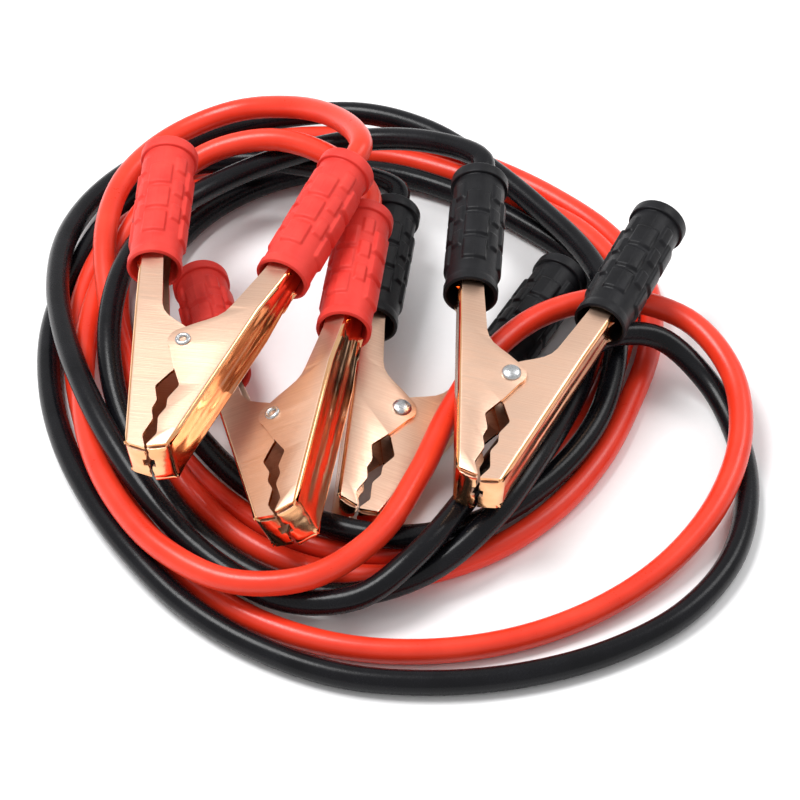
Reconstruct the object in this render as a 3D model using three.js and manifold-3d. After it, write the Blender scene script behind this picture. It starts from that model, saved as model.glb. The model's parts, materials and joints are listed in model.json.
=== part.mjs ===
import * as THREE from 'three';
import { mergeVertices } from 'three/addons/utils/BufferGeometryUtils.js';
import Module from 'manifold-3d';

const wasm = await Module();
wasm.setup();

// Driving dimensions in millimetres. Everything else is worked out from these.
const CABLE_DIAMETER = 9;
const CABLE_SIDES = 8;
const CABLE_STEPS = 98;
const SHEET = 1.2;
const CLEARANCE = 0.3;

// How far a cutting shape runs past the piece that it cuts.
const CUT_REACH = 200;

// A jaw lies flat with its pivot at the origin, its nose towards -Y and its grip towards +Y.
const JAW_HEIGHT = 19;
const TANG_HEIGHT = 12.9;
const TANG_WIDTH = 9.2;
const TANG_LENGTH = 46;
const PINCH_FROM = 18;
const PINCH_TO = 40;
const NOSE_OUTER = [8.6, -48];
const NOSE_TIP = [0.2, -50];
const TAB_SLOT = 0.6;
const NOSE_HOLE_RADIUS = 1.9;
const EAR_RADIUS = 5.6;
const EAR_FROM = 3.9;
const EAR_TO = 2.0;

// The cut edge of the jaw from the tip to the pivot: three notches of different size.
const TEETH = [[2.9, -44.3], [1.1, -36.7], [2.9, -32], [2.1, -28], [4.7, -21.5], [0.3, -13.3]];
const SHOULDER = [[3, 8.6], [9.5, 12.6], [13.2, 18]];

const GRIP_MOUTH = [24.5, 41.2];
const GRIP_TILT = THREE.MathUtils.degToRad(10.15);
const GRIP_LENGTH = 60.8;
const GRIP_RADIUS = 10;
const GRIP_BORE = 8.4;
const GRIP_WALL = 2.5;
const LIP_RADIUS = 10.9;
const LIP_LENGTH = 5;
const GRIP_SIDES = 20;

const RIVET_RADIUS = 1.9;
const RIVET_HEAD_RADIUS = 3.6;
const RIVET_HEAD_HEIGHT = 1.8;
const EYELET_RADIUS = 2.9;
const EYELET_BORE = 1.3;
const EYELET_DEPTH = 5;
const RIVET_SIDES = 12;

const WIRE_DIAMETER = 1.8;
const WIRE_SIDES = 6;
const SPRING_TURNS = 3;
const SPRING_LEG = [19.6, 22];

const CABLE_INSIDE = 12;
const CABLE_LEAD = 12;

// The point on the floor under the middle of the four clamps, which becomes the origin.
const MIDDLE = [3.8, -9.54, 0.32];

// Where each clamp lies: pivot, turn about the vertical, nose-down tilt, roll, and which side is up.
const CLAMPS = {
  red_clamp_1: { pivot: [-76.2, -32, 52.2], turn: -13, tilt: 5.5, roll: -6, colour: 'red' },
  red_clamp_2: { pivot: [-41.5, -50, 33], turn: 2, tilt: -1.5, roll: -25, colour: 'red' },
  black_clamp_1: { pivot: [-1, -27, 13.8], turn: -18, tilt: 2.5, roll: 191.5, colour: 'black' },
  black_clamp_2: { pivot: [39.4, -36.5, 40], turn: -14.5, tilt: 3.5, roll: 184, colour: 'black' },
};

// Route of each cable's axis between its two clamps, as it lies in the heap.
const RED_ROUTE = [
  [-26, 89.5, 44], [-50.5, 107, 39], [-76.5, 105.5, 32.5], [-97, 87, 25], [-111, 60.5, 17],
  [-118, 30.5, 14], [-118.5, -2.5, 14], [-114, -35, 14.5], [-102.5, -66, 15.5], [-84, -93, 17],
  [-59, -110, 18.5], [-31.5, -110.5, 21], [-8.5, -93.5, 23.5], [6.5, -65.5, 26], [18, -34, 26.5],
  [32.5, -4.5, 27], [54, 18.5, 27], [81.5, 28, 26], [108, 20.5, 22.5], [123, -2.5, 18.5],
  [125, -32.5, 15], [115.5, -63, 11.5], [97, -89.5, 8], [72.5, -110, 6], [43.5, -124, 5],
  [12, -130.5, 5], [-19.5, -128.5, 5], [-49, -117, 5], [-73.5, -97, 5], [-93, -71.5, 5],
  [-108.5, -42.5, 5], [-118.5, -12, 5], [-123.5, 20, 5], [-122, 51.5, 8.5], [-110.5, 79, 14.5],
  [-90, 101.5, 12.5], [-66, 122.5, 7], [-38, 136, 6], [-7.5, 137, 5.5], [22, 126.5, 5.5],
  [49.5, 108, 6], [73.5, 84.5, 8.5], [87, 56, 8.5], [84.5, 24, 6], [73.5, -7.5, 5],
  [57, -37, 5], [36, -62.5, 5], [10.5, -81.5, 5], [-19, -84, 5], [-47.5, -71.5, 5],
  [-71, -49.5, 5], [-88.5, -22, 5], [-101, 8.5, 5], [-108.5, 40.5, 5], [-109, 73, 5],
  [-101.5, 104, 5], [-83, 129, 5.5], [-56.5, 145, 6], [-25.5, 150, 5], [5.5, 144.5, 5],
  [35, 131, 5], [61.5, 111.5, 5], [83.5, 87.5, 5], [96, 58, 5], [95.5, 25.5, 5],
  [86, -7, 5], [73, -37.5, 5], [54.5, -64, 5], [30.5, -84, 5], [1.5, -95, 5],
  [-29, -92.5, 5], [-56, -78.5, 6.5], [-77.5, -55, 10], [-92, -27, 13.5], [-103, 3.5, 17],
  [-111, 34.5, 23], [-113.5, 67, 28], [-107.5, 98.5, 27.5], [-90.5, 122.5, 28], [-66, 131.5, 33.5],
  [-41, 121.5, 43.5], [-22.5, 97, 56.5],
];

const BLACK_ROUTE = [
  [12, 99.5, 44], [-17, 110, 36], [-47.5, 107, 29.5], [-74, 92.5, 27], [-94, 69, 29],
  [-105, 39.5, 31.5], [-108.5, 8, 29], [-104, -22.5, 22], [-91.5, -51, 15], [-73, -77, 9],
  [-48.5, -96.5, 5.5], [-19.5, -105.5, 6.5], [9.5, -100, 12.5], [32.5, -82, 20.5], [48.5, -56, 23],
  [61, -25, 17.5], [71, 9, 10], [77.5, 42.5, 5], [71, 71, 5], [49.5, 95, 5],
  [23, 114, 5.5], [-6.5, 125.5, 6.5], [-37, 125, 7], [-64.5, 112, 6.5], [-85, 90, 5.5],
  [-96, 62, 5], [-96, 31, 5], [-87.5, -0.5, 5], [-72.5, -30.5, 7], [-53, -57, 10],
  [-28, -77, 13.5], [1, -85, 14.5], [30, -75.5, 13], [54.5, -53.5, 12.5], [72, -26.5, 13.5],
  [80.5, 4, 15], [81.5, 35.5, 15.5], [72.5, 66, 15], [55, 93.5, 15], [34.5, 119, 15.5],
  [12, 141, 15.5], [-15, 155.5, 13], [-45.5, 158.5, 9], [-75.5, 151, 6.5], [-102, 133.5, 6.5],
  [-120.5, 109, 9], [-130.5, 79, 13], [-131.5, 47, 17.5], [-126.5, 15.5, 21.5], [-117.5, -15, 24.5],
  [-104.5, -44.5, 22.5], [-87.5, -71.5, 17.5], [-65.5, -95.5, 12.5], [-40, -111.5, 10.5], [-14, -114, 15],
  [7, -99, 22], [24, -73.5, 23], [41, -44.5, 24], [58, -15.5, 25.5], [76.5, 6.5, 26],
  [97, 12.5, 20.5], [115, -1, 11], [125, -26.5, 5.5], [126, -58, 5], [117.5, -88.5, 5],
  [99, -113.5, 5], [72.5, -131, 5], [42, -141.5, 5], [10, -145, 5], [-21, -141.5, 5],
  [-50, -129, 5.5], [-75, -110, 6], [-95.5, -85.5, 7], [-112, -58, 6.5], [-124.5, -28.5, 6],
  [-132, 3, 5], [-133.5, 35, 5], [-127.5, 66, 5.5], [-113.5, 94, 10.5], [-91, 114, 17.5],
  [-59.5, 117, 20], [-25.5, 107, 23],
];

const COPPER = { color: 0xe6b697, roughness: 0.35, metalness: 1 };
const ZINC = { color: 0xc4c6c8, roughness: 0.35, metalness: 1 };
const STEEL = { color: 0x8d9094, roughness: 0.4, metalness: 1 };
const SLEEVES = {
  red: { color: 0xd94f45, roughness: 0.6, metalness: 0 },
  black: { color: 0x2c2d30, roughness: 0.55, metalness: 0 },
};
const SHEATHS = {
  red: { color: 0xd8473c, roughness: 0.3, metalness: 0 },
  black: { color: 0x28292b, roughness: 0.3, metalness: 0 },
};

function piece(name, geometry, look) {
  geometry.computeVertexNormals();
  const mesh = new THREE.Mesh(geometry, new THREE.MeshStandardMaterial(look));
  mesh.name = name;
  return mesh;
}

// One welded body with its faces outwards.
function welded(geometry) {
  geometry.deleteAttribute('normal');
  geometry.deleteAttribute('uv');
  const joined = mergeVertices(geometry, 1e-4);
  const index = joined.getIndex().array;
  const at = joined.getAttribute('position');
  const [a, b, c] = [new THREE.Vector3(), new THREE.Vector3(), new THREE.Vector3()];
  let volume = 0;
  for (let i = 0; i < index.length; i += 3) {
    a.fromBufferAttribute(at, index[i]);
    b.fromBufferAttribute(at, index[i + 1]);
    c.fromBufferAttribute(at, index[i + 2]);
    volume += a.dot(b.cross(c));
  }
  if (volume < 0) {
    for (let i = 0; i < index.length; i += 3) {
      [index[i], index[i + 1]] = [index[i + 1], index[i]];
    }
  }
  return joined;
}

function solid(geometry) {
  const body = welded(geometry);
  const mesh = new wasm.Mesh({
    numProp: 3,
    vertProperties: new Float32Array(body.getAttribute('position').array),
    triVerts: new Uint32Array(body.getIndex().array),
  });
  return new wasm.Manifold(mesh);
}

function geometryOf(body) {
  const mesh = body.getMesh();
  const geometry = new THREE.BufferGeometry();
  geometry.setAttribute('position', new THREE.BufferAttribute(mesh.vertProperties, 3));
  geometry.setIndex(new THREE.BufferAttribute(mesh.triVerts, 1));
  return geometry;
}

// A flat outline given thickness about the plane z = 0.
function slab(points, height) {
  const shape = new THREE.Shape(points.map(([x, y]) => new THREE.Vector2(x, y)));
  const geometry = new THREE.ExtrudeGeometry(shape, { depth: height, bevelEnabled: false });
  return geometry.translate(0, 0, -height / 2);
}

// The jaw seen from its side: full height at the pivot, pinched down to the tang.
function sideView(height, tangHeight) {
  const half = height / 2;
  const tang = tangHeight / 2;
  const points = [[-CUT_REACH, -half], [PINCH_FROM, -half], [PINCH_TO, -tang], [CUT_REACH, -tang]];
  const mirrored = points.map(([y, z]) => [y, -z]).reverse();
  const geometry = slab([...points, ...mirrored], CUT_REACH);
  const turn = new THREE.Matrix4().makeBasis(
    new THREE.Vector3(0, 1, 0),
    new THREE.Vector3(0, 0, 1),
    new THREE.Vector3(1, 0, 0),
  );
  return geometry.applyMatrix4(turn);
}

// A point on the grip's axis, moved sideways from it.
function alongGrip(distance, sideways = 0) {
  const x = GRIP_MOUTH[0] + Math.sin(GRIP_TILT) * distance + Math.cos(GRIP_TILT) * sideways;
  const y = GRIP_MOUTH[1] + Math.cos(GRIP_TILT) * distance - Math.sin(GRIP_TILT) * sideways;
  return [x, y];
}

// The corner of two lines through a, b and c after both move to their left by a distance.
function insetCorner(a, b, c, distance) {
  const first = new THREE.Vector2(b[0] - a[0], b[1] - a[1]).normalize();
  const second = new THREE.Vector2(c[0] - b[0], c[1] - b[1]).normalize();
  const middle = new THREE.Vector2(-first.y - second.y, first.x + second.x).normalize();
  const reach = distance / (middle.y * first.x - middle.x * first.y);
  return [b[0] + middle.x * reach, b[1] + middle.y * reach];
}

const TANG_OUTER = alongGrip(0, TANG_WIDTH / 2);
const TANG_INNER = alongGrip(0, -TANG_WIDTH / 2);
const TANG_END_OUTER = alongGrip(TANG_LENGTH, TANG_WIDTH / 2);
const TANG_END_INNER = alongGrip(TANG_LENGTH, -TANG_WIDTH / 2);

// The plate's outline on the +X side, from the nose round the pivot ear and up to the tang's end.
function jawOutline() {
  const ear = [];
  const steps = 7;
  for (let i = 0; i <= steps; i += 1) {
    const angle = EAR_FROM + ((EAR_TO - EAR_FROM) * i) / steps;
    ear.push([EAR_RADIUS * Math.cos(angle), EAR_RADIUS * Math.sin(angle)]);
  }
  const inner = [NOSE_TIP, ...TEETH, ...ear, ...SHOULDER, TANG_INNER, TANG_END_INNER];
  return [...inner, TANG_END_OUTER, TANG_OUTER, NOSE_OUTER];
}

// What lies inside the channel: everything inwards of the web and of the nose tab.
function jawHollow() {
  const nose = insetCorner(NOSE_TIP, NOSE_OUTER, TANG_OUTER, SHEET);
  const bend = insetCorner(NOSE_OUTER, TANG_OUTER, TANG_END_OUTER, SHEET);
  const [endX, endY] = alongGrip(TANG_LENGTH + 10, TANG_WIDTH / 2 - SHEET);
  const slope = (NOSE_OUTER[1] - NOSE_TIP[1]) / (NOSE_OUTER[0] - NOSE_TIP[0]);
  const left = [-40, nose[1] - slope * (nose[0] + 40)];
  return [nose, bend, [endX, endY], [-40, endY], left];
}

// One pressed jaw: two toothed side plates, a web, a folded nose tab and a tang.
function jaw(side, height) {
  const mirror = ([x, y]) => [side * x, y];
  const hollowHeight = height - 2 * SHEET;
  const tangHollow = TANG_HEIGHT - 2 * SHEET;
  const blank = solid(slab(jawOutline().map(mirror), height));
  const pressed = blank.intersect(solid(sideView(height, TANG_HEIGHT)));
  const hollow = solid(slab(jawHollow().map(mirror), CUT_REACH));
  let body = pressed.subtract(hollow.intersect(solid(sideView(hollowHeight, tangHollow))));
  const slotWidth = NOSE_OUTER[0] - SHEET - CLEARANCE;
  for (const end of [-1, 1]) {
    const slot = new THREE.BoxGeometry(slotWidth + 2, 5, TAB_SLOT);
    slot.translate(side * (slotWidth / 2 - 1), NOSE_TIP[1] + 1, (end * (hollowHeight - TAB_SLOT)) / 2);
    body = body.subtract(solid(slot));
  }
  const noseHole = new THREE.CylinderGeometry(NOSE_HOLE_RADIUS, NOSE_HOLE_RADIUS, 8, 12);
  noseHole.translate(side * 2.2, NOSE_TIP[1] + 1, 0);
  body = body.subtract(solid(noseHole));
  const holeRadius = RIVET_RADIUS + CLEARANCE;
  const pivotHole = new THREE.CylinderGeometry(holeRadius, holeRadius, 40, 16);
  pivotHole.rotateX(Math.PI / 2);
  return geometryOf(body.subtract(solid(pivotHole)));
}

// The moulded sleeve, its open mouth at the origin and its rear towards +Y.
function grip() {
  const cableHole = CABLE_DIAMETER / 2 + CLEARANCE;
  const lipStart = GRIP_LENGTH - LIP_LENGTH;
  const profile = [
    [GRIP_BORE, 0],
    [GRIP_RADIUS, 0],
    [GRIP_RADIUS, lipStart - 1],
    [LIP_RADIUS, lipStart],
    [LIP_RADIUS, GRIP_LENGTH - 1],
    [LIP_RADIUS - 1, GRIP_LENGTH],
    [cableHole, GRIP_LENGTH],
    [cableHole, GRIP_LENGTH - GRIP_WALL],
    [GRIP_BORE, GRIP_LENGTH - GRIP_WALL],
    [GRIP_BORE, 0],
  ];
  const turned = new THREE.LatheGeometry(profile.map(([x, y]) => new THREE.Vector2(x, y)), GRIP_SIDES);
  return welded(turned);
}

// The tubular rivet along Z: a dome below the lower plate, a rolled eyelet above the upper one.
function rivet() {
  const seat = JAW_HEIGHT / 2 + CLEARANCE;
  const profile = [
    [0, -seat - RIVET_HEAD_HEIGHT],
    [RIVET_HEAD_RADIUS * 0.6, -seat - RIVET_HEAD_HEIGHT * 0.8],
    [RIVET_HEAD_RADIUS, -seat - RIVET_HEAD_HEIGHT * 0.2],
    [RIVET_HEAD_RADIUS, -seat],
    [RIVET_RADIUS, -seat],
    [RIVET_RADIUS, seat],
    [EYELET_RADIUS, seat],
    [EYELET_RADIUS - 0.2, seat + 0.7],
    [EYELET_BORE + 0.5, seat + 0.9],
    [EYELET_BORE, seat + 0.4],
    [EYELET_BORE, seat - EYELET_DEPTH],
    [0, seat - EYELET_DEPTH],
  ];
  const turned = new THREE.LatheGeometry(profile.map(([x, y]) => new THREE.Vector2(x, y)), RIVET_SIDES);
  return welded(turned.rotateX(Math.PI / 2));
}

function tube(points, diameter, sides, steps) {
  const path = new THREE.CatmullRomCurve3(points, false, 'centripetal');
  const section = new THREE.Shape();
  for (let i = 0; i < sides; i += 1) {
    const angle = (2 * Math.PI * (i + 0.5)) / sides;
    const [x, y] = [(Math.cos(angle) * diameter) / 2, (Math.sin(angle) * diameter) / 2];
    if (i === 0) section.moveTo(x, y);
    else section.lineTo(x, y);
  }
  section.closePath();
  return welded(new THREE.ExtrudeGeometry(section, { steps, bevelEnabled: false, extrudePath: path }));
}

// The torsion spring round the rivet, one straight leg lying inside each jaw's web.
function spring() {
  const radius = RIVET_RADIUS + 0.5 + WIRE_DIAMETER / 2;
  const [legX, legY] = SPRING_LEG;
  const reach = Math.hypot(legX, legY);
  const start = Math.atan2(legY, legX) - Math.acos(radius / reach);
  const sweep = -(Math.PI + 2 * start) - 2 * Math.PI * SPRING_TURNS;
  const rise = (SPRING_TURNS + 0.29) * (WIRE_DIAMETER + 0.25);
  const points = [new THREE.Vector3(legX, legY, rise / 2)];
  const steps = Math.round(12 * (SPRING_TURNS + 0.29));
  for (let i = 0; i <= steps; i += 1) {
    const angle = start + (sweep * i) / steps;
    const height = rise / 2 - (rise * i) / steps;
    points.push(new THREE.Vector3(radius * Math.cos(angle), radius * Math.sin(angle), height));
  }
  points.push(new THREE.Vector3(-legX, legY, -rise / 2));
  return tube(points, WIRE_DIAMETER, WIRE_SIDES, 64);
}

function clampFrame(clamp) {
  const [turn, tilt, roll] = [clamp.turn, clamp.tilt, clamp.roll].map(THREE.MathUtils.degToRad);
  const group = new THREE.Group();
  group.position.set(...clamp.pivot);
  group.rotation.set(tilt, roll, turn, 'ZXY');
  group.updateMatrixWorld(true);
  return group;
}

function buildClamp(name, clamp) {
  const group = clampFrame(clamp);
  const innerHeight = JAW_HEIGHT - 2 * (SHEET + CLEARANCE);
  group.add(piece(`${name}_outer_jaw`, jaw(1, JAW_HEIGHT), COPPER));
  group.add(piece(`${name}_inner_jaw`, jaw(-1, innerHeight), COPPER));
  group.add(piece(`${name}_rivet`, rivet(), ZINC));
  group.add(piece(`${name}_spring`, spring(), STEEL));
  for (const [part, side] of [['outer_grip', 1], ['inner_grip', -1]]) {
    const sleeve = piece(`${name}_${part}`, grip(), SLEEVES[clamp.colour]);
    sleeve.position.set(side * GRIP_MOUTH[0], GRIP_MOUTH[1], 0);
    sleeve.rotation.z = -side * GRIP_TILT;
    group.add(sleeve);
  }
  return group;
}

// Where a cable meets a clamp: its end inside the outer grip, the grip's rear, and a point behind it.
function cableEnd(clamp) {
  const frame = clampFrame(clamp);
  const distances = [GRIP_LENGTH - CABLE_INSIDE, GRIP_LENGTH, GRIP_LENGTH + CABLE_LEAD];
  return distances.map((distance) => {
    const [x, y] = alongGrip(distance);
    return new THREE.Vector3(x, y, 0).applyMatrix4(frame.matrixWorld);
  });
}

function cable(name, colour, from, route, to) {
  const middle = route.map((point) => new THREE.Vector3(...point));
  const points = [...cableEnd(from), ...middle, ...cableEnd(to).reverse()];
  return piece(name, tube(points, CABLE_DIAMETER, CABLE_SIDES, CABLE_STEPS), SHEATHS[colour]);
}

const set = new THREE.Group();
set.name = 'jumper_cable_set';
set.position.set(-MIDDLE[0], -MIDDLE[1], -MIDDLE[2]);
for (const [name, clamp] of Object.entries(CLAMPS)) {
  set.add(buildClamp(name, clamp));
}
set.add(cable('red_cable', 'red', CLAMPS.red_clamp_2, RED_ROUTE, CLAMPS.red_clamp_1));
set.add(cable('black_cable', 'black', CLAMPS.black_clamp_2, BLACK_ROUTE, CLAMPS.black_clamp_1));

export default set;
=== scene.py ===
import json
import math

import bmesh
import bpy
import numpy as np
from mathutils import Matrix, Vector

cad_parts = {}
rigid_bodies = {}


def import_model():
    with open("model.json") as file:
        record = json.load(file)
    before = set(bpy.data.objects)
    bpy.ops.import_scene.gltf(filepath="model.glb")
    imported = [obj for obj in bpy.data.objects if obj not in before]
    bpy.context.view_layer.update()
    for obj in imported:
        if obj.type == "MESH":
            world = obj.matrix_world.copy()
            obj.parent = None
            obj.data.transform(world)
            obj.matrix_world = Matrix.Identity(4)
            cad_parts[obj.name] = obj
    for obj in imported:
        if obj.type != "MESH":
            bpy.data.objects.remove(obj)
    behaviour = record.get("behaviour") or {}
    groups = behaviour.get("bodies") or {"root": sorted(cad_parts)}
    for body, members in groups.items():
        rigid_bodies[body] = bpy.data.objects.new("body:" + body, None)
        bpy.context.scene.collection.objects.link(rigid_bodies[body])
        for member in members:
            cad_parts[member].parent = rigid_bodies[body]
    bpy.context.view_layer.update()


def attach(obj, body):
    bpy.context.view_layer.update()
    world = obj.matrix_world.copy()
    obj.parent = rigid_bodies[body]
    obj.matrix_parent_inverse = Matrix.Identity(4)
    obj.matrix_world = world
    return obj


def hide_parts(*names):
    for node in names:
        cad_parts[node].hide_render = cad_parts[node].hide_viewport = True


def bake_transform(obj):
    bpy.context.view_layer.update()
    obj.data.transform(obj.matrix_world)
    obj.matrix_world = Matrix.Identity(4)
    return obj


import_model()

# Camera.
# It looks down at 44 degrees from the side of the clamps' noses, through a long lens. Sizes are in
# metres, and MIDDLE is the point of the clamps' and routes' own frame that the part's origin lies on.
MM = 0.001
MIDDLE = Vector((3.8, -9.54, 0.32)) * MM
VIEW_ELEVATION = math.radians(44)
VIEW_DISTANCE = 1.2
LENS = 143.1

camera_data = bpy.data.cameras.new("camera")
camera_data.lens = LENS
camera_data.sensor_width = 36
camera = bpy.data.objects.new("camera", camera_data)
towards_camera = Vector((0, -math.cos(VIEW_ELEVATION), math.sin(VIEW_ELEVATION)))
camera.location = towards_camera * VIEW_DISTANCE - MIDDLE
camera.rotation_euler = (math.pi / 2 - VIEW_ELEVATION, 0, 0)
bpy.context.scene.collection.objects.link(camera)
bpy.context.scene.camera = camera

# Leads.
# Two flexible cables of stranded copper in PVC, one red and one black. Each comes out of the rear of
# one clamp's outer grip, lies in a loose heap of loops and ends in the other clamp's outer grip.
CLAMPS = {
    "red_clamp_1": dict(pivot=(-76.2, -32, 52.2), turn=-13, tilt=5.5, roll=-6, colour="red"),
    "red_clamp_2": dict(pivot=(-41.5, -50, 33), turn=2, tilt=-1.5, roll=-25, colour="red"),
    "black_clamp_1": dict(pivot=(-1, -27, 13.8), turn=-18, tilt=2.5, roll=191.5, colour="black"),
    "black_clamp_2": dict(pivot=(39.4, -36.5, 40), turn=-14.5, tilt=3.5, roll=184, colour="black"),
}
CABLE_DIAMETER = 9 * MM
CABLE_INSIDE = 12 * MM
CABLE_LEAD = 12 * MM
CABLE_ROUNDING = 6
STEPS_BETWEEN_POINTS = 7
GRIP_MOUTH = Vector((24.5, 41.2, 0)) * MM
GRIP_TILT = math.radians(10.15)
GRIP_LENGTH = 60.8 * MM

RED_ROUTE = [
    (-0.026, 0.0895, 0.044), (-0.0505, 0.107, 0.039), (-0.0765, 0.1055, 0.0325), (-0.097, 0.087, 0.025),
    (-0.111, 0.0605, 0.017), (-0.118, 0.0305, 0.014), (-0.1185, -0.0025, 0.014), (-0.114, -0.035, 0.0145),
    (-0.1025, -0.066, 0.0155), (-0.084, -0.093, 0.017), (-0.059, -0.11, 0.0185),
    (-0.0315, -0.1105, 0.021), (-0.0085, -0.0935, 0.0235), (0.0065, -0.0655, 0.026),
    (0.018, -0.034, 0.0265), (0.0325, -0.0045, 0.027), (0.054, 0.0185, 0.027), (0.0815, 0.028, 0.026),
    (0.108, 0.0205, 0.0225), (0.123, -0.0025, 0.0185), (0.125, -0.0325, 0.015), (0.1155, -0.063, 0.0115),
    (0.097, -0.0895, 0.008), (0.0725, -0.11, 0.006), (0.0435, -0.124, 0.005), (0.012, -0.1305, 0.005),
    (-0.0195, -0.1285, 0.005), (-0.049, -0.117, 0.005), (-0.0735, -0.097, 0.005),
    (-0.093, -0.0715, 0.005), (-0.1085, -0.0425, 0.005), (-0.1185, -0.012, 0.005), (-0.1235, 0.02, 0.005),
    (-0.122, 0.0515, 0.0085), (-0.1105, 0.079, 0.0145), (-0.09, 0.1015, 0.0125), (-0.066, 0.1225, 0.007),
    (-0.038, 0.136, 0.006), (-0.0075, 0.137, 0.0055), (0.022, 0.1265, 0.0055), (0.0495, 0.108, 0.006),
    (0.0735, 0.0845, 0.0085), (0.087, 0.056, 0.0085), (0.0845, 0.024, 0.006), (0.0735, -0.0075, 0.005),
    (0.057, -0.037, 0.005), (0.036, -0.0625, 0.005), (0.0105, -0.0815, 0.005), (-0.019, -0.084, 0.005),
    (-0.0475, -0.0715, 0.005), (-0.071, -0.0495, 0.005), (-0.0885, -0.022, 0.005),
    (-0.101, 0.0085, 0.005), (-0.1085, 0.0405, 0.005), (-0.109, 0.073, 0.005), (-0.1015, 0.104, 0.005),
    (-0.083, 0.129, 0.0055), (-0.0565, 0.145, 0.006), (-0.0255, 0.15, 0.005), (0.0055, 0.1445, 0.005),
    (0.035, 0.131, 0.005), (0.0615, 0.1115, 0.005), (0.0835, 0.0875, 0.005), (0.096, 0.058, 0.005),
    (0.0955, 0.0255, 0.005), (0.086, -0.007, 0.005), (0.073, -0.0375, 0.005), (0.0545, -0.064, 0.005),
    (0.0305, -0.084, 0.005), (0.0015, -0.095, 0.005), (-0.029, -0.0925, 0.005), (-0.056, -0.0785, 0.0065),
    (-0.0775, -0.055, 0.01), (-0.092, -0.027, 0.0135), (-0.103, 0.0035, 0.017), (-0.111, 0.0345, 0.023),
    (-0.1135, 0.067, 0.028), (-0.1075, 0.0985, 0.0275), (-0.0905, 0.1225, 0.028),
    (-0.066, 0.1315, 0.0335), (-0.041, 0.1215, 0.0435), (-0.0225, 0.097, 0.0565),
]

BLACK_ROUTE = [
    (0.012, 0.0995, 0.044), (-0.017, 0.11, 0.036), (-0.0475, 0.107, 0.0295), (-0.074, 0.0925, 0.027),
    (-0.094, 0.069, 0.029), (-0.105, 0.0395, 0.0315), (-0.1085, 0.008, 0.029), (-0.104, -0.0225, 0.022),
    (-0.0915, -0.051, 0.015), (-0.073, -0.077, 0.009), (-0.0485, -0.0965, 0.0055),
    (-0.0195, -0.1055, 0.0065), (0.0095, -0.1, 0.0125), (0.0325, -0.082, 0.0205), (0.0485, -0.056, 0.023),
    (0.061, -0.025, 0.0175), (0.071, 0.009, 0.01), (0.0775, 0.0425, 0.005), (0.071, 0.071, 0.005),
    (0.0495, 0.095, 0.005), (0.023, 0.114, 0.0055), (-0.0065, 0.1255, 0.0065), (-0.037, 0.125, 0.007),
    (-0.0645, 0.112, 0.0065), (-0.085, 0.09, 0.0055), (-0.096, 0.062, 0.005), (-0.096, 0.031, 0.005),
    (-0.0875, -0.0005, 0.005), (-0.0725, -0.0305, 0.007), (-0.053, -0.057, 0.01),
    (-0.028, -0.077, 0.0135), (0.001, -0.085, 0.0145), (0.03, -0.0755, 0.013), (0.0545, -0.0535, 0.0125),
    (0.072, -0.0265, 0.0135), (0.0805, 0.004, 0.015), (0.0815, 0.0355, 0.0155), (0.0725, 0.066, 0.015),
    (0.055, 0.0935, 0.015), (0.0345, 0.119, 0.0155), (0.012, 0.141, 0.0155), (-0.015, 0.1555, 0.013),
    (-0.0455, 0.1585, 0.009), (-0.0755, 0.151, 0.0065), (-0.102, 0.1335, 0.0065), (-0.1205, 0.109, 0.009),
    (-0.1305, 0.079, 0.013), (-0.1315, 0.047, 0.0175), (-0.1265, 0.0155, 0.0215),
    (-0.1175, -0.015, 0.0245), (-0.1045, -0.0445, 0.0225), (-0.0875, -0.0715, 0.0175),
    (-0.0655, -0.0955, 0.0125), (-0.04, -0.1115, 0.0105), (-0.014, -0.114, 0.015), (0.007, -0.099, 0.022),
    (0.024, -0.0735, 0.023), (0.041, -0.0445, 0.024), (0.058, -0.0155, 0.0255), (0.0765, 0.0065, 0.026),
    (0.097, 0.0125, 0.0205), (0.115, -0.001, 0.011), (0.125, -0.0265, 0.0055), (0.126, -0.058, 0.005),
    (0.1175, -0.0885, 0.005), (0.099, -0.1135, 0.005), (0.0725, -0.131, 0.005), (0.042, -0.1415, 0.005),
    (0.01, -0.145, 0.005), (-0.021, -0.1415, 0.005), (-0.05, -0.129, 0.0055), (-0.075, -0.11, 0.006),
    (-0.0955, -0.0855, 0.007), (-0.112, -0.058, 0.0065), (-0.1245, -0.0285, 0.006),
    (-0.132, 0.003, 0.005), (-0.1335, 0.035, 0.005), (-0.1275, 0.066, 0.0055), (-0.1135, 0.094, 0.0105),
    (-0.091, 0.114, 0.0175), (-0.0595, 0.117, 0.02), (-0.0255, 0.107, 0.023),
]


def clamp_matrix(clamp):
    place = Vector(clamp["pivot"]) * MM - MIDDLE
    turn = Matrix.Rotation(math.radians(clamp["turn"]), 4, "Z")
    tilt = Matrix.Rotation(math.radians(clamp["tilt"]), 4, "X")
    roll = Matrix.Rotation(math.radians(clamp["roll"]), 4, "Y")
    return Matrix.Translation(place) @ turn @ tilt @ roll


def along_grip(distance, sideways=0.0):
    along = Vector((math.sin(GRIP_TILT), math.cos(GRIP_TILT), 0))
    across = Vector((math.cos(GRIP_TILT), -math.sin(GRIP_TILT), 0))
    return GRIP_MOUTH + along * distance + across * sideways


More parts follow.
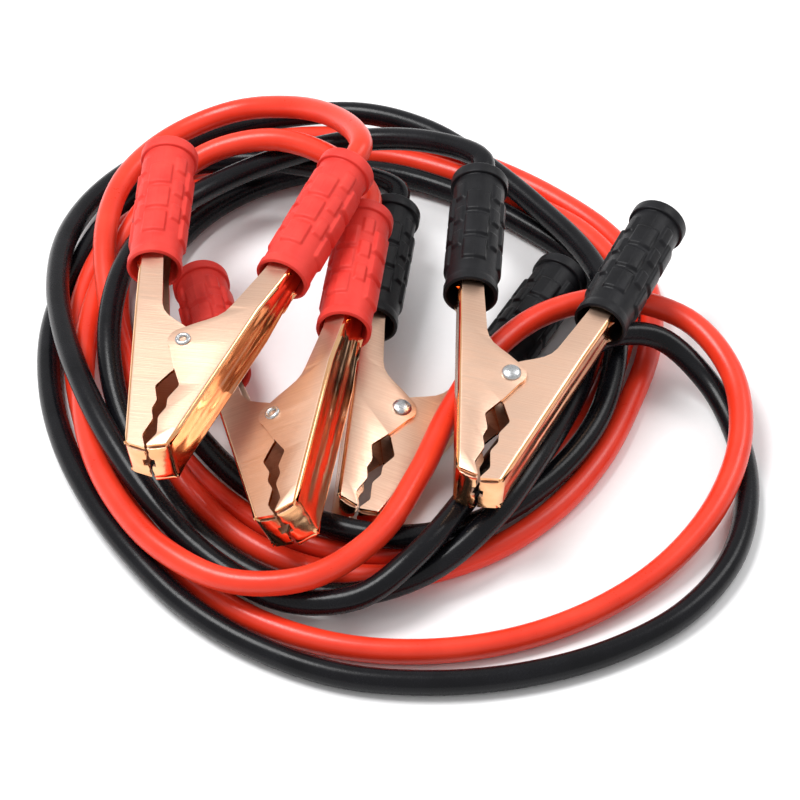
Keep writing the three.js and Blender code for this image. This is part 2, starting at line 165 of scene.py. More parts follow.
def smooth_route(points):
    """Points on a centripetal curve through the given ones."""
    points = [np.array(p, float) for p in points]
    points = [2 * points[0] - points[1], *points, 2 * points[-1] - points[-2]]
    found = []
    for a, b, c, d in zip(points, points[1:], points[2:], points[3:]):
        ta, tb, tc = (max(np.linalg.norm(q - p) ** 0.5, 1e-4) for p, q in ((a, b), (b, c), (c, d)))
        leave = ((b - a) / ta - (c - a) / (ta + tb) + (c - b) / tb) * tb
        reach = ((c - b) / tb - (d - b) / (tb + tc) + (d - c) / tc) * tb
        for t in np.arange(STEPS_BETWEEN_POINTS) / STEPS_BETWEEN_POINTS:
            square, cube = t * t, t ** 3
            place = b * (2 * cube - 3 * square + 1) + leave * (cube - 2 * square + t)
            found.append(place + c * (3 * square - 2 * cube) + reach * (cube - square))
    found.append(points[-2])
    return found


def link(name, data):
    thing = bpy.data.objects.new(name, data)
    bpy.context.scene.collection.objects.link(thing)
    return thing


def lead(name, start, route, end):
    """A cable from inside one outer grip, out of its rear, along its route and into the other's."""
    stops = (GRIP_LENGTH - CABLE_INSIDE, GRIP_LENGTH, GRIP_LENGTH + CABLE_LEAD)
    leaving = [clamp_matrix(CLAMPS[start]) @ along_grip(s) for s in stops]
    arriving = [clamp_matrix(CLAMPS[end]) @ along_grip(s) for s in reversed(stops)]
    middle = [Vector(p) - MIDDLE for p in route]
    points = smooth_route([*leaving, *middle, *arriving])
    curve = bpy.data.curves.new(name, "CURVE")
    curve.dimensions = "3D"
    curve.bevel_depth = CABLE_DIAMETER / 2
    curve.bevel_resolution = CABLE_ROUNDING
    curve.use_fill_caps = True
    spline = curve.splines.new("POLY")
    spline.points.add(len(points) - 1)
    for point, place in zip(spline.points, points):
        point.co = (*place, 1)
    spline.use_smooth = True
    return link(name, curve), leaving[1]


red_lead, red_exit = lead("red_lead", "red_clamp_2", RED_ROUTE, "red_clamp_1")
black_lead, black_exit = lead("black_lead", "black_clamp_2", BLACK_ROUTE, "black_clamp_1")


# Sheath of the leads.
# Extruded semi-gloss PVC, red on one lead and black on the other. A material is written as a formula:
# Signal adds a Math node for each sum or product, and every other node comes from Formula.node.
class Formula:
    def __init__(self, tree):
        self.tree = tree

    def feed(self, socket, value):
        if isinstance(value, Signal):
            self.tree.links.new(value.socket, socket)
        else:
            socket.default_value = value

    def node(self, kind, settings, inputs, output=0):
        """A node with its settings made first, then its sockets fed, each by name or by number."""
        node = self.tree.nodes.new(kind)
        for key, value in settings.items():
            setattr(node, key, value)
        for key, value in inputs.items():
            self.feed(node.inputs[key], value)
        return Signal(self, node.outputs[output])

    def maths(self, operation, *values):
        return self.node("ShaderNodeMath", {"operation": operation}, dict(enumerate(values)))


class Signal:
    def __init__(self, formula, socket):
        self.formula = formula
        self.socket = socket

    def __add__(self, other):
        return self.formula.maths("ADD", self, other)

    def __radd__(self, other):
        return self.formula.maths("ADD", other, self)

    def __sub__(self, other):
        return self.formula.maths("SUBTRACT", self, other)

    def __rsub__(self, other):
        return self.formula.maths("SUBTRACT", other, self)

    def __mul__(self, other):
        return self.formula.maths("MULTIPLY", self, other)

    def __rmul__(self, other):
        return self.formula.maths("MULTIPLY", other, self)

    def __truediv__(self, other):
        return self.formula.maths("DIVIDE", self, other)


class Shade(Formula):
    def __init__(self, name):
        self.material = bpy.data.materials.new(name)
        self.material.use_nodes = True
        super().__init__(self.material.node_tree)
        self.surface = self.tree.nodes["Principled BSDF"]

    def set(self, **inputs):
        for key, value in inputs.items():
            self.feed(self.surface.inputs[key.replace("_", " ")], value)

    def place(self):
        return self.node("ShaderNodeTexCoord", {}, {}, "Object")

    def stored(self, name, output="Vector"):
        return self.node("ShaderNodeAttribute", {"attribute_name": name}, {}, output)

    def stretched(self, place, scale):
        return self.node("ShaderNodeVectorMath", {"operation": "MULTIPLY"}, {0: place, 1: scale})

    def noise(self, place, scale, detail=3.0, roughness=0.5):
        inputs = {"Vector": place, "Scale": scale, "Detail": detail, "Roughness": roughness}
        return self.node("ShaderNodeTexNoise", {}, inputs, "Fac")

    def ramp(self, value, low, high, to_low=0.0, to_high=1.0):
        inputs = dict(enumerate((value, low, high, to_low, to_high)))
        return self.node("ShaderNodeMapRange", {"clamp": True}, inputs)

    def blend(self, factor, a, b):
        return self.node("ShaderNodeMix", {"data_type": "RGBA"}, {0: factor, 6: a, 7: b}, 2)

    def bump(self, height, distance):
        return self.node("ShaderNodeBump", {}, {"Height": height, "Distance": distance})


def colour(red, green, blue):
    return (red, green, blue, 1.0)


def sheath(name, deep, pale, gloss, shine):
    """A faint mottle, fine extrusion waves and scuffs."""
    shade = Shade(name)
    place = shade.place()
    mottle = shade.noise(place, 60.0)
    scuffs = shade.noise(shade.stretched(place, (1, 1, 2)), 900.0, 4.0)
    shade.set(
        Base_Color=shade.blend(shade.ramp(mottle, 0.3, 0.7), deep, pale),
        Roughness=shade.ramp(scuffs + mottle * 0.6, 0.5, 1.1, gloss, gloss + 0.13),
        Normal=shade.bump(scuffs + mottle * 2.0, 0.000025),
        Specular_IOR_Level=shine,
        Coat_Weight=0.06,
        Coat_Roughness=0.2,
    )
    return shade.material


DEEP_RED = colour(0.7, 0.03, 0.01)
PALE_RED = colour(0.8, 0.045, 0.018)
DEEP_BLACK = colour(0.003, 0.003, 0.004)
PALE_BLACK = colour(0.007, 0.007, 0.009)
RED_SHEATH = sheath("red_sheath", DEEP_RED, PALE_RED, 0.26, 0.35)
BLACK_SHEATH = sheath("black_sheath", DEEP_BLACK, PALE_BLACK, 0.2, 0.16)

LEADS = (
    (red_lead, red_exit, "red_cable", 2.67, RED_SHEATH),
    (black_lead, black_exit, "black_cable", 2.66, BLACK_SHEATH),
)
for cable, exit_point, node, length, material in LEADS:
    cable.data.materials.append(material)
    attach(cable, "leads")
    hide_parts(node)


# Sleeves.
# Each grip is a soft PVC moulding pushed over a jaw's tang: a plain band at the mouth, three staggered
# rows of raised pads, the rear lip with the cable's hole, and the bore. It is one closed surface.
SLEEVE_RADIUS = 9.75 * MM
SLEEVE_BORE = 8.4 * MM
SLEEVE_REAR_WALL = 2.5 * MM
LIP_RADIUS = 10.9 * MM
LIP_LENGTH = 5 * MM
LIP_FRONT_ROUND = 0.5 * MM
LIP_REAR_ROUND = 1.1 * MM
MOUTH_ROLL = 0.6 * MM
HOLE_CHAMFER = 0.5 * MM
RELIEF_RINGS = 130
PAD_COLUMNS = 8
PAD_HEIGHT = 1.0 * MM
NARROW_PAD_HEIGHT = 0.8 * MM
PAD_ROWS = (11 * MM, 23.5 * MM, 36 * MM)
PAD_LENGTH = 10.2 * MM
NARROW_PAD_LENGTH = 7.8 * MM
PAD_SHIFT = 6.2 * MM
PAD_FLANK = 1.2 * MM
SEAM_WIDTH = 0.32 * MM
SEAM_HEIGHT = 0.12 * MM
WIDE_PAD = math.radians(25)
NARROW_PAD = math.radians(12)
SLEEVE_SIDES = 160


def box_step(value, half_width, edge):
    return np.clip((half_width - np.abs(value)) / edge + 0.5, 0, 1)


def soft(value):
    return value * value * (3 - 2 * value)


def sleeve_relief(angle, distance):
    """How far the surface stands out at an angle round the sleeve and a distance from its mouth."""
    relief = np.zeros(np.broadcast(angle, distance).shape)
    for column in range(PAD_COLUMNS):
        wide = column % 2 == 0
        half_angle = WIDE_PAD if wide else NARROW_PAD
        length = PAD_LENGTH if wide else NARROW_PAD_LENGTH
        height = PAD_HEIGHT if wide else NARROW_PAD_HEIGHT
        middle = column * 2 * math.pi / PAD_COLUMNS
        away = (angle - middle + math.pi) % (2 * math.pi) - math.pi
        across = soft(box_step(away * SLEEVE_RADIUS, half_angle * SLEEVE_RADIUS, PAD_FLANK))
        for row in PAD_ROWS:
            centre = row + PAD_LENGTH / 2 + (0 if wide else PAD_SHIFT)
            along = soft(box_step(distance - centre, length / 2, PAD_FLANK))
            relief = np.maximum(relief, across * along * height)
    from_seam = np.abs((angle % math.pi) - math.pi / 2) * SLEEVE_RADIUS
    return relief + box_step(from_seam, SEAM_WIDTH / 2, 0.2 * MM) * SEAM_HEIGHT


def arc_rings(radius, distance, outwards, along, first, last, count):
    """Smooth rings whose radius and distance from the mouth follow a round or oval arc."""
    angles = np.linspace(first, last, count)
    return [(radius + outwards * math.cos(a), distance + along * math.sin(a), 0) for a in angles]


def sleeve_profile():
    """Radius and distance from the mouth of each ring, and whether it carries the relief."""
    quarter = math.pi / 2
    rolled = (SLEEVE_RADIUS - 0.3 * MM, MOUTH_ROLL, 0.7 * MM, -MOUTH_ROLL)
    rings = arc_rings(*rolled, math.pi, quarter, 5)
    rings.append((SLEEVE_RADIUS + 0.45 * MM, 0.5 * MM, 0))
    rings.append((SLEEVE_RADIUS + 0.5 * MM, 3.2 * MM, 0))
    rings.append((SLEEVE_RADIUS + 0.1 * MM, 4.2 * MM, 0))
    lip_start = GRIP_LENGTH - LIP_LENGTH
    for distance in np.linspace(5 * MM, lip_start - 0.4 * MM, RELIEF_RINGS):
        rings.append((SLEEVE_RADIUS, distance, 1))
    rings.append((SLEEVE_RADIUS + 0.1 * MM, lip_start - 0.1 * MM, 0))
    front = (LIP_RADIUS - LIP_FRONT_ROUND, lip_start + LIP_FRONT_ROUND, LIP_FRONT_ROUND, -LIP_FRONT_ROUND)
    rings += arc_rings(*front, quarter, 0, 5)
    rear = (LIP_RADIUS - LIP_REAR_ROUND, GRIP_LENGTH - LIP_REAR_ROUND, LIP_REAR_ROUND, LIP_REAR_ROUND)
    rings += arc_rings(*rear, 0, quarter, 6)
    hole = CABLE_DIAMETER / 2 + 0.15 * MM
    rings.append((hole + HOLE_CHAMFER, GRIP_LENGTH, 0))
    rings.append((hole, GRIP_LENGTH - HOLE_CHAMFER, 0))
    rings.append((hole, GRIP_LENGTH - SLEEVE_REAR_WALL, 0))
    rings.append((SLEEVE_BORE, GRIP_LENGTH - SLEEVE_REAR_WALL, 0))
    rings.append((SLEEVE_BORE, 1.5 * MM, 0))
    return np.array(rings)


def ring_mesh(name, points):
    """A mesh from a grid of points, rings by sides, closed round each ring and end to end."""
    rings, sides = points.shape[:2]
    row = np.arange(rings)[:, None] * sides
    column = np.arange(sides)[None, :]
    next_row = (row + sides) % (rings * sides)
    next_column = (column + 1) % sides
    faces = np.stack([row + column, row + next_column, next_row + next_column, next_row + column], -1)
    mesh = bpy.data.meshes.new(name)
    mesh.from_pydata(points.reshape(-1, 3).tolist(), [], faces.reshape(-1, 4).tolist())
    return mesh


def finished(name, mesh, matrix, sharp_degrees):
    """Stores each point's place in the clamp's frame, then moves the mesh to where the clamp lies."""
    bm = bmesh.new()
    bm.from_mesh(mesh)
    bmesh.ops.remove_doubles(bm, verts=bm.verts, dist=1e-7)
    bmesh.ops.recalc_face_normals(bm, faces=bm.faces)
    bm.to_mesh(mesh)
    bm.free()
    place = mesh.attributes.new("clamp_place", "FLOAT_VECTOR", "POINT")
    flat = np.zeros(len(mesh.vertices) * 3, np.float32)
    mesh.vertices.foreach_get("co", flat)
    place.data.foreach_set("vector", flat)
    mesh.transform(matrix)
    mesh.polygons.foreach_set("use_smooth", [True] * len(mesh.polygons))
    mesh.set_sharp_from_angle(angle=math.radians(sharp_degrees))
    return link(name, mesh)


def sleeve(name, side, matrix):
    profile = sleeve_profile()
    angle = np.linspace(0, 2 * math.pi, SLEEVE_SIDES, endpoint=False)[None, :]
    radius, distance, raised = (profile[:, k][:, None] for k in range(3))
    radius = radius + sleeve_relief(angle, distance) * raised
    points = np.stack(np.broadcast_arrays(radius * np.cos(angle), distance, radius * np.sin(angle)), -1)
    mesh = ring_mesh(name, points)
    grip_place = Matrix.Translation((side * GRIP_MOUTH.x, GRIP_MOUTH.y, 0))
    mesh.transform(grip_place @ Matrix.Rotation(-side * GRIP_TILT, 4, "Z"))
    return finished(name, mesh, matrix, 50)


def moulded(name, deep, pale, roughness, shine):
    """Soft matte PVC: cloudy colour, fine grain and slightly shiny wear."""
    shade = Shade(name)
    place = shade.stored("clamp_place")
    cloud = shade.noise(place, 110.0, 4.0)
    grain = shade.noise(place, 3800.0, 2.0)
    shade.set(
        Base_Color=shade.blend(shade.ramp(cloud, 0.3, 0.7), deep, pale),
        Roughness=shade.ramp(cloud + grain * 0.4, 0.45, 0.95, roughness - 0.06, roughness + 0.1),
        Normal=shade.bump(grain + cloud * 3.0, 0.00007),
        Specular_IOR_Level=shine,
    )
    return shade.material


DEEP_CORAL = colour(0.64, 0.028, 0.02)
PALE_CORAL = colour(0.74, 0.05, 0.036)
DEEP_SOOT = colour(0.004, 0.004, 0.005)
PALE_SOOT = colour(0.009, 0.009, 0.011)
RED_SLEEVE = moulded("red_sleeve", DEEP_CORAL, PALE_CORAL, 0.5, 0.3)
BLACK_SLEEVE = moulded("black_sleeve", DEEP_SOOT, PALE_SOOT, 0.38, 0.2)


# Pressed jaws.
# Copper-plated steel sheet, cut with teeth and folded into a channel: two side plates, a creased web, a
# nose tab and a tang. The skin is bent along its folds, given its thickness and softened at its edges.
SHEET = 1.2 * MM
CLEARANCE = 0.3 * MM
JAW_HEIGHT = 19 * MM
TANG_HEIGHT = 12.9 * MM
TANG_WIDTH = 9.2 * MM
TANG_LENGTH = 46 * MM
PINCH_FROM = 18 * MM
PINCH_TO = 40 * MM
NOSE_OUTER = (8.6, -48)
NOSE_TIP = (0.25, -50)
TAB_SLOT = 0.7 * MM
EAR_RADIUS = 5.6
EAR_FROM = 3.9
EAR_TO = 2.0
TEETH = [(2.9, -44.3), (1.1, -36.7), (2.9, -32), (2.1, -28), (4.7, -21.5), (0.3, -13.3)]
SHOULDER = [(3, 8.6), (6, 10.3), (9.5, 12.6), (11.7, 15), (13.2, 18)]
FOLD_RADIUS = 1.7 * MM
CUT_EDGE = 0.13 * MM
CREASE = 0.35 * MM
CREASE_ROW = 0.4
CREASE_START = -44 * MM
CREASE_RISE = 12 * MM
WEB_ROWS = (0.62, CREASE_ROW, 0.2, 0)
WEB_STATIONS = (-40, -20, 0, 18, 22, 27, 32, 37, 40, 60, 80)

# How far along the nose tab each of its rows lies, and by how many millimetres it bulges there.
TAB_ROWS = ((0.25, 0.55), (0.5, 0.85), (0.76, 0.7), (0.97, 0.2))
TAB_TOOTH = 0.35
TAB_HOLE_ROW = 0.2


def half_height(y, height):
    share = min(max((y - PINCH_FROM) / (PINCH_TO - PINCH_FROM), 0), 1)
    return (height + (TANG_HEIGHT - height) * share) / 2


def rounded(points, reach):
    """The same outline with each corner replaced by three points of a small curve."""
    result = []
    for before, corner, after in zip([points[-1], *points], points, [*points[1:], points[0]]):
        before, corner, after = Vector(before), Vector(corner), Vector(after)
        step = min(reach, (before - corner).length / 3, (after - corner).length / 3)
        start = corner + (before - corner).normalized() * step
        end = corner + (after - corner).normalized() * step
        result += [start, (start + end + corner * 2) / 4, end]
    return result


def jaw_outline():
    ear = [
        (EAR_RADIUS * math.cos(a), EAR_RADIUS * math.sin(a))
        for a in np.linspace(EAR_FROM, EAR_TO, 15)
    ]
    ends = ((0, -1), (TANG_LENGTH, -1), (TANG_LENGTH, 1), (0, 1))
    tang = [along_grip(distance, edge * TANG_WIDTH / 2).xy / MM for distance, edge in ends]
    toothed = rounded([NOSE_OUTER, NOSE_TIP, *TEETH], 0.9)[3:]
    return [NOSE_OUTER, *toothed, *ear, *SHOULDER, *tang]


def jaw_skin(side, height):
    bm = bmesh.new()
    corners = [bm.verts.new((side * p[0] * MM, p[1] * MM, 0)) for p in jaw_outline()]
    bm.faces.new(corners)
    for y in WEB_STATIONS:
        everything = [*bm.verts, *bm.edges, *bm.faces]
        bmesh.ops.bisect_plane(bm, geom=everything, plane_co=(0, y * MM, 0), plane_no=(0, 1, 0))
    bend = along_grip(0, TANG_WIDTH / 2).xy
    end = along_grip(TANG_LENGTH, TANG_WIDTH / 2).xy
    nose = Vector(NOSE_OUTER) * MM

    def on_fold(vertex):
        point = Vector((side * vertex.co.x, vertex.co.y))
        for a, b in ((nose, bend), (bend, end)):
            along = (b - a).normalized()
            share = (point - a).dot(along)
            if -1e-6 < share < (b - a).length + 1e-6 and abs((point - a).cross(along)) < 2e-6:
                return True
        return False

    upper_fold = sorted((v for v in bm.verts if on_fold(v)), key=lambda v: v.co.y)
    top_faces = list(bm.faces)
    copied = bmesh.ops.duplicate(bm, geom=[*bm.verts, *bm.edges, *bm.faces])
    twin = copied["vert_map"]
    lower_fold = [twin[v] for v in upper_fold]
    lower = set(v for v in copied["geom"] if isinstance(v, bmesh.types.BMVert))
    for vertex in bm.verts:
        vertex.co.z = half_height(vertex.co.y, height) * (-1 if vertex in lower else 1)

    tab_share = 1 - 2 * (SHEET + TAB_SLOT) / height
    rows = [tab_share, *WEB_ROWS]
    rows = [*rows, *(-r for r in reversed(rows[:-1]))]
    grid = []
    for top, bottom in zip(upper_fold, lower_fold):
        outward = Vector((side * math.cos(GRIP_TILT), -math.sin(GRIP_TILT), 0))
        fade = soft(min(max((top.co.y - CREASE_START) / CREASE_RISE, 0), 1))
        column = [top]
        for row in rows:
            share = 1 if abs(row) == CREASE_ROW else -0.6 if row == 0 else 0
            place = Vector((top.co.x, top.co.y, top.co.z * row)) + outward * CREASE * fade * share
            column.append(bm.verts.new(place))
        grid.append([*column, bottom])
    for near, far in zip(grid, grid[1:]):
        for k in range(len(near) - 1):
            bm.faces.new((near[k], near[k + 1], far[k + 1], far[k]))

    tab = [grid[0][1:-1]]
    for share, bulge in TAB_ROWS:
        x = NOSE_OUTER[0] + (NOSE_TIP[0] - NOSE_OUTER[0]) * share
        y = NOSE_OUTER[1] + (NOSE_TIP[1] - NOSE_OUTER[1]) * share - bulge
        ring = []
        for k, row in enumerate(rows):
            tooth = TAB_TOOTH * (k % 2) if share == TAB_ROWS[-1][0] else 0
            ring.append(bm.verts.new((side * (x + tooth) * MM, y * MM, row * height / 2)))
        tab.append(ring)
    for near, far in zip(tab, tab[1:]):
        for k in range(len(near) - 1):
            at_hole = far is tab[-1] and max(abs(rows[k]), abs(rows[k + 1])) <= TAB_HOLE_ROW
            if not at_hole:
                bm.faces.new((near[k], near[k + 1], far[k + 1], far[k]))

    bmesh.ops.recalc_face_normals(bm, faces=bm.faces)
    if top_faces[0].normal.z < 0:
        bmesh.ops.reverse_faces(bm, faces=bm.faces)
    folds = []
    for chain in (upper_fold, lower_fold, tab[0]):
        pairs = [frozenset(pair) for pair in zip(chain, chain[1:])]
        folds += [e for e in bm.edges if frozenset(e.verts) in pairs]
    bmesh.ops.bevel(bm, geom=folds, offset=FOLD_RADIUS, segments=5, profile=0.5, affect="EDGES")
    return bm


def solidified(name, bm):
    mesh = bpy.data.meshes.new(name)
    bm.to_mesh(mesh)
    bm.free()
    rough = link(name, mesh)
    thick = rough.modifiers.new("thickness", "SOLIDIFY")
    thick.thickness = SHEET
    thick.offset = -1
    thick.use_even_offset = False
    edge = rough.modifiers.new("cut_edges", "BEVEL")
    edge.width = CUT_EDGE
    edge.segments = 2
    edge.limit_method = "ANGLE"
    edge.angle_limit = math.radians(55)
    evaluated = rough.evaluated_get(bpy.context.evaluated_depsgraph_get())
    result = bpy.data.meshes.new_from_object(evaluated)
    bpy.data.objects.remove(rough)
    bpy.data.meshes.remove(mesh)
    return result


def pressed_jaw(name, side, height, matrix):
    mesh = solidified(name + "_blank", jaw_skin(side, height))
    thing = finished(name, mesh, matrix, 40)
    across = (matrix.to_3x3() @ Vector((0, 0, 1))).normalized()
    plates = [float(abs(p.normal.dot(across)) > 0.92) for p in mesh.polygons]
    mesh.attributes.new("plate", "FLOAT", "FACE").data.foreach_set("value", plates)
    return thing


def plated_copper():
    """Brushed across on the plates and almost a mirror on the webs, where the die has stretched the
    metal.
    """
    shade = Shade("plated_copper")
    place = shade.stored("clamp_place")
    plate = shade.stored("plate", "Fac")
    lines = shade.noise(shade.stretched(place, (40, 2600, 40)), 1.0, 4.0, 0.6)
    waves = shade.noise(shade.stretched(place, (90, 60, 110)), 1.0, 2.0)
    tarnish = shade.noise(place, 95.0, 5.0, 0.6)
    streaks = shade.ramp(tarnish * 0.5 + lines, 0.5, 1.0)
    pale = shade.blend(streaks, colour(0.87, 0.6, 0.45), colour(0.72, 0.45, 0.32))
    # The webs' deeper orange with wavy bands is partly the copper's own colour and partly a painted
    # reflection of the red leads.
    web_copper_and_painted_reflection = shade.blend(shade.ramp(waves, 0.35, 0.65), colour(0.93, 0.55, 0.3), colour(0.84, 0.42, 0.2))
    brushed = shade.ramp(lines + tarnish * 0.5, 0.5, 1.0, 0.3, 0.46)
    mirror = shade.ramp(waves, 0.3, 0.7, 0.09, 0.2)
    shade.set(
        Base_Color=shade.blend(plate, web_copper_and_painted_reflection, pale),
        Metallic=1.0,
        Roughness=brushed * plate + mirror * (1 - plate),
        Normal=shade.bump(lines * plate * 0.8 + waves * (1 - plate) * 4.0, 0.00006),
    )
    return shade.material


COPPER = plated_copper()


# Rivets.
# A zinc-plated tubular rivet through all four side plates, with a domed head at one end and the tube
# rolled over into a small eyelet at the other. Its section is swept round the shank's circle.
RIVET_RADIUS = 1.9 * MM
HEAD_RADIUS = 3.6 * MM
HEAD_HEIGHT = 1.8 * MM
EYELET_RADIUS = 2.9 * MM
EYELET_BORE = 1.25 * MM
EYELET_HEIGHT = 0.8 * MM
EYELET_DEPTH = 5 * MM
RIVET_SEAT = JAW_HEIGHT / 2 + 0.05 * MM
RIVET_SIDES = 48


class Shaping(Formula):
    """A Geometry Nodes tree with a named input for each of its sizes and for its material."""

    def __init__(self, name, **sizes):
        super().__init__(bpy.data.node_groups.new(name, "GeometryNodeTree"))
        self.sizes = sizes
        kinds = {"geometry": "NodeSocketGeometry"}
        for size, value in sizes.items():
            kinds[size] = "NodeSocketInt" if isinstance(value, int) else "NodeSocketFloat"
        kinds["material"] = "NodeSocketMaterial"
        for label, kind in kinds.items():
            self.tree.interface.new_socket(label, in_out="INPUT", socket_type=kind)
        self.tree.interface.new_socket("piece", in_out="OUTPUT", socket_type="NodeSocketGeometry")
        self.entry = self.tree.nodes.new("NodeGroupInput")

    def given(self, label):
        return Signal(self, self.entry.outputs[label])

    def vector(self, x, y, z):
        return self.node("ShaderNodeCombineXYZ", {}, {0: x, 1: y, 2: z})

    def moved(self, geometry, place, chosen=True):
        inputs = {"Geometry": geometry, "Selection": chosen, "Position": place}
        return self.node("GeometryNodeSetPosition", {}, inputs)

    def swept(self, path, section):
        inputs = {"Curve": path, "Profile Curve": section, "Fill Caps": True}
        return self.node("GeometryNodeCurveToMesh", {}, inputs)

    def ending(self, geometry):
        plain = self.node("GeometryNodeRealizeInstances", {}, {0: geometry})
        inputs = {"Geometry": plain, "Material": self.given("material")}
        painted = self.node("GeometryNodeSetMaterial", {}, inputs)
        self.feed(self.tree.nodes.new("NodeGroupOutput").inputs[0], painted)

    def made_from(self, blank, material):
        """The plain mesh that the tree makes of an object. The object is removed."""
        modifier = blank.modifiers.new("shaping", "NODES")
        modifier.node_group = self.tree
        values = {**self.sizes, "material": material}
        for socket in self.tree.interface.items_tree:
            if socket.name in values:
                modifier[socket.identifier] = values[socket.name]
        evaluated = blank.evaluated_get(bpy.context.evaluated_depsgraph_get())
        mesh = bpy.data.meshes.new_from_object(evaluated)
        bpy.data.batch_remove([blank, blank.data])
        return mesh


def rivet_section():
    """Radius and height of each point, from the head's pole to the bottom of the eyelet's bore."""
    points = []
    for angle in np.linspace(0, math.pi / 2, 9):
        rise = HEAD_HEIGHT * (0.15 + 0.85 * math.cos(angle))
        points.append((HEAD_RADIUS * math.sin(angle), -RIVET_SEAT - rise))
    points += [(HEAD_RADIUS, -RIVET_SEAT), (RIVET_RADIUS, -RIVET_SEAT)]
    points += [(RIVET_RADIUS, RIVET_SEAT), (EYELET_RADIUS - 0.1 * MM, RIVET_SEAT)]
    roll = (EYELET_RADIUS - EYELET_BORE) / 2
    for angle in np.linspace(0, math.pi, 9):
        height = RIVET_SEAT + 0.15 * MM + EYELET_HEIGHT * math.sin(angle)
        points.append((EYELET_RADIUS - roll + roll * math.cos(angle), height))
    points += [(EYELET_BORE, RIVET_SEAT - EYELET_DEPTH), (0, RIVET_SEAT - EYELET_DEPTH)]
    return points


def turning_tree():
    tree = Shaping("turning", shank_radius=RIVET_RADIUS, sides=RIVET_SIDES)
    size = {"Resolution": tree.given("sides"), "Radius": tree.given("shank_radius")}
    circle = tree.node("GeometryNodeCurvePrimitiveCircle", {"mode": "RADIUS"}, size)
    upright = tree.node("GeometryNodeSetCurveNormal", {"mode": "Z_UP"}, {"Curve": circle})
    tree.ending(tree.swept(upright, tree.given("geometry")))
    return tree


TURNING = turning_tree()


def turned_rivet(name, matrix):
    section = bpy.data.curves.new(name + "_section", "CURVE")
    section.dimensions = "3D"
    line = section.splines.new("POLY")
    points = rivet_section()
    line.points.add(len(points) - 1)
    for point, (radius, height) in zip(line.points, points):
        point.co = (radius - RIVET_RADIUS, -height, 0, 1)
    mesh = TURNING.made_from(link(name + "_section", section), ZINC)
    return finished(name, mesh, matrix, 40)


def bright_metal(name, deep, pale, roughness):
    shade = Shade(name)
    place = shade.stored("clamp_place")
    cloud = shade.noise(place, 700.0, 4.0)
    scratches = shade.noise(shade.stretched(place, (500, 4000, 500)), 1.0, 3.0)
    shade.set(
        Base_Color=shade.blend(cloud, deep, pale),
        Metallic=1.0,
        Roughness=shade.ramp(scratches + cloud * 0.5, 0.4, 1.1, roughness - 0.08, roughness + 0.14),
        Normal=shade.bump(scratches + cloud, 0.00005),
    )
    return shade.material


ZINC = bright_metal("zinc_plating", colour(0.42, 0.43, 0.44), colour(0.66, 0.67, 0.68), 0.24)
SPRING_STEEL = bright_metal("spring_steel", colour(0.3, 0.31, 0.33), colour(0.46, 0.47, 0.49), 0.3)


# Springs.
# Round steel wire coiled about the rivet, with one straight leg inside each jaw's web. A line of points
# is wound into the coil and the wire swept along it.
WIRE_DIAMETER = 1.8 * MM
WIRE_SIDES = 10
COIL_RADIUS = RIVET_RADIUS + 0.5 * MM + WIRE_DIAMETER / 2
COIL_GAP = 0.25 * MM
SPRING_TURNS = 3
SPRING_LEG = (19.6 * MM, 22 * MM)
SPRING_POINTS = 92


def winding_tree():
    """One leg's end, the coil's points and the other leg's end, in this order along one line."""
    reach = math.hypot(*SPRING_LEG)
    start = math.atan2(SPRING_LEG[1], SPRING_LEG[0]) - math.acos(COIL_RADIUS / reach)
    tree = Shaping(
        "winding",
        coil_radius=COIL_RADIUS,
        first_angle=start,
        sweep=-(math.pi + 2 * start) - 2 * math.pi * SPRING_TURNS,
        rise=(SPRING_TURNS + 0.29) * (WIRE_DIAMETER + COIL_GAP),
        leg_across=SPRING_LEG[0],
        leg_along=SPRING_LEG[1],
        wire_radius=WIRE_DIAMETER / 2,
        wire_sides=WIRE_SIDES,
        points=SPRING_POINTS,
    )
    line = tree.node("GeometryNodeCurvePrimitiveLine", {}, {})
    count = {"Curve": line, "Count": tree.given("points")}
    line = tree.node("GeometryNodeResampleCurve", {"mode": "COUNT"}, count)
    index = tree.node("GeometryNodeInputIndex", {}, {})
    share = (index - 1) / (tree.given("points") - 3)
    angle = tree.given("first_angle") + tree.given("sweep") * share
    radius = tree.given("coil_radius")
    height = tree.given("rise") * (0.5 - share)
    coil = tree.vector(radius * tree.maths("COSINE", angle), radius * tree.maths("SINE", angle), height)
    line = tree.moved(line, coil)
    across, along, half_rise = tree.given("leg_across"), tree.given("leg_along"), tree.given("rise") * 0.5
    is_first = tree.maths("LESS_THAN", index, 0.5)
    line = tree.moved(line, tree.vector(across, along, half_rise), is_first)
    is_last = tree.maths("GREATER_THAN", index, tree.given("points") - 1.5)
    line = tree.moved(line, tree.vector(0 - across, along, 0 - half_rise), is_last)
    size = {"Resolution": tree.given("wire_sides"), "Radius": tree.given("wire_radius")}
    section = tree.node("GeometryNodeCurvePrimitiveCircle", {"mode": "RADIUS"}, size)
    tree.ending(tree.swept(line, section))
    return tree


WINDING = winding_tree()


def coiled_spring(name, matrix):
    blank = link(name + "_blank", bpy.data.meshes.new(name))
    return finished(name, WINDING.made_from(blank, SPRING_STEEL), matrix, 50)


# The four clamps.
# Every clamp has the same six pieces, put together about its rivet. The outer jaw holds the lead, and
# the inner jaw and its sleeve ride on the half that is squeezed.
INNER_HEIGHT = JAW_HEIGHT - 2 * (SHEET + CLEARANCE)


def clothe(thing, node, material):
    thing.data.materials.clear()
    thing.data.materials.append(material)
    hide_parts(node)


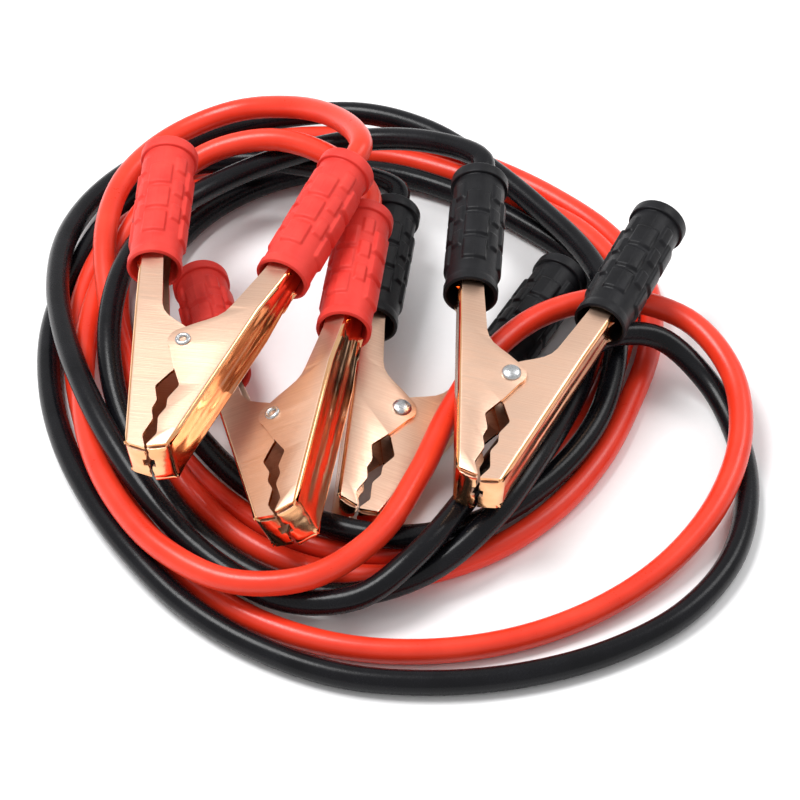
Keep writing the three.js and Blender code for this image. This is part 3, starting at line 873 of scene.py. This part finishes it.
for name, clamp in CLAMPS.items():
    matrix = clamp_matrix(clamp)
    red = clamp["colour"] == "red"
    sleeve_material = RED_SLEEVE if red else BLACK_SLEEVE
    squeezed_half = name + "_squeezed_half"
    halves = (("outer", 1, JAW_HEIGHT, "leads"), ("inner", -1, INNER_HEIGHT, squeezed_half))
    for part, side, height, body in halves:
        jaw = pressed_jaw(f"{name}_{part}_pressing", side, height, matrix)
        clothe(jaw, f"{name}_{part}_jaw", COPPER)
        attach(jaw, body)
        grip = sleeve(f"{name}_{part}_sleeve", side, matrix)
        clothe(grip, f"{name}_{part}_grip", sleeve_material)
        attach(grip, body)
    rivet = turned_rivet(f"{name}_turned_rivet", matrix)
    clothe(rivet, f"{name}_rivet", ZINC)
    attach(rivet, "leads")
    spring = coiled_spring(f"{name}_coiled_wire", matrix)
    clothe(spring, f"{name}_spring", SPRING_STEEL)
    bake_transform(spring)


# Floor and light.
# A plain white table under a large soft light from above and the left, a weaker one from the right and
# behind, and a bright surround.
FLOOR_REACH = 3.0
floor_mesh = bpy.data.meshes.new("floor")
corners = [(x * FLOOR_REACH, y * FLOOR_REACH, 0) for x, y in ((-1, -1), (1, -1), (1, 1), (-1, 1))]
floor_mesh.from_pydata(corners, [], [(0, 1, 2, 3)])
floor = link("floor", floor_mesh)
paper = Shade("white_paper")
fibres = paper.noise(paper.place(), 400.0, 3.0)
white = paper.blend(fibres, colour(0.9, 0.895, 0.9), colour(0.93, 0.925, 0.93))
paper.set(Base_Color=white, Roughness=0.6)
floor_mesh.materials.append(paper.material)


def soft_light(name, place, size, power):
    """A round light that faces the middle of the heap."""
    data = bpy.data.lights.new(name, "AREA")
    data.shape = "DISK"
    data.size = size
    data.energy = power
    light = link(name, data)
    light.location = place
    light.rotation_euler = (-Vector(place)).to_track_quat("-Z", "Y").to_euler()


soft_light("key", (-0.65, 0.15, 1.5), 0.8, 24)
soft_light("fill", (0.9, 0.5, 1.1), 0.6, 5)
world = bpy.data.worlds.new("surround")
world.use_nodes = True
world.node_tree.nodes["Background"].inputs["Color"].default_value = (1, 1, 1, 1)
world.node_tree.nodes["Background"].inputs["Strength"].default_value = 0.72
bpy.context.scene.world = world
bpy.context.scene.view_settings.view_transform = "Standard"
